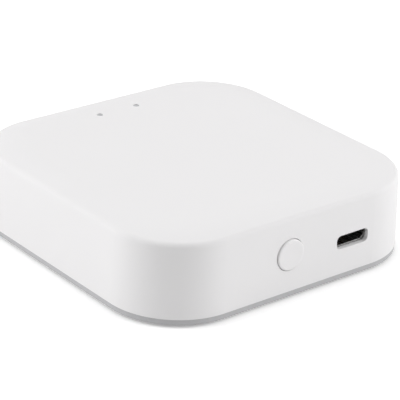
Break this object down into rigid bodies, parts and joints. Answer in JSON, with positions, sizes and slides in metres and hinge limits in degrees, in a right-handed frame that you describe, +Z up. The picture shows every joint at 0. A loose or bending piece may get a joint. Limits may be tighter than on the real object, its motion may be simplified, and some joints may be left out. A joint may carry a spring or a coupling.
{
  "type": "wifi lighting controller",
  "caption": "Low square white controller case with round corners, a reset button and a micro-USB port in one side, small indicator lights in the top and rubber feet below.",
  "frame": {"origin": "on the table, under the middle of the case, at the bottom of the feet", "axes": "+Z up; -Y out of the front face with the reset button and the port; +X to the right seen from the front"},
  "size_m": [0.06, 0.0601, 0.0158],
  "materials": {
    "cover_plastic": "satin",
    "base_plastic": "satin",
    "button_plastic": "satin",
    "foot_rubber": "matte",
    "label_film": "matte",
    "screw_steel": "zinc plated",
    "board_laminate": "solder mask",
    "module_laminate": "solder mask",
    "socket_steel": "nickel plated",
    "socket_plastic": "moulded",
    "contact_gold": "gold plated",
    "switch_plastic": "moulded",
    "switch_steel": "stamped",
    "led_package": "moulded",
    "light_pipe_clear": "clear",
    "shield_steel": "tin plated",
    "chip_plastic": "moulded",
    "antenna_copper": "gold plated",
    "solder": "bright",
    "capacitor_plastic": "moulded",
    "fuse_plastic": "coated",
    "resistor_ceramic": "glazed",
    "capacitor_ceramic": "fired"
  },
  "bodies": {
    "case": {"top_cover": "cover_plastic", "base_cover": "base_plastic", "rubber_feet": "foot_rubber", "rating_label": "label_film", "case_screws": "screw_steel", "main_board": "board_laminate", "board_screws": "screw_steel", "usb_shell": "socket_steel", "usb_insulator": "socket_plastic", "usb_contacts": "contact_gold", "switch_housing": "switch_plastic", "switch_cover": "switch_steel", "switch_dome": "switch_steel", "switch_terminals": "switch_steel", "network_led": "led_package", "radio_led": "led_package", "network_light_pipe": "light_pipe_clear", "radio_light_pipe": "light_pipe_clear", "wifi_module_board": "module_laminate", "wifi_module_shield": "shield_steel", "wifi_chip": "chip_plastic", "wifi_antenna": "antenna_copper", "radio_module_board": "module_laminate", "radio_module_shield": "shield_steel", "radio_chip": "chip_plastic", "radio_antenna": "antenna_copper", "module_solder_joints": "solder", "voltage_regulator": "chip_plastic", "regulator_leads": "solder", "input_capacitor": "capacitor_plastic", "output_capacitor": "capacitor_plastic", "resettable_fuse": "fuse_plastic", "surge_diode": "chip_plastic", "chip_resistors": "resistor_ceramic", "chip_capacitors": "capacitor_ceramic"},
    "button": {"reset_button": "button_plastic"},
    "plunger": {"switch_plunger": "switch_plastic"}
  },
  "joints": [
    {"name": "reset_button_press", "type": "slide", "parent": "case", "child": "button", "axis": [0, 1, 0], "range_m": [0, 0.00035], "stiffness_N_per_m": 4000},
    {"name": "switch_plunger_slide", "type": "slide", "parent": "case", "child": "plunger", "axis": [0, 1, 0], "range_m": [0, 0.00035], "deforming": ["switch_dome"]}
  ],
  "couplings": [
    {"joint": "switch_plunger_slide", "follows": "reset_button_press", "ratio": 1}
  ]
}
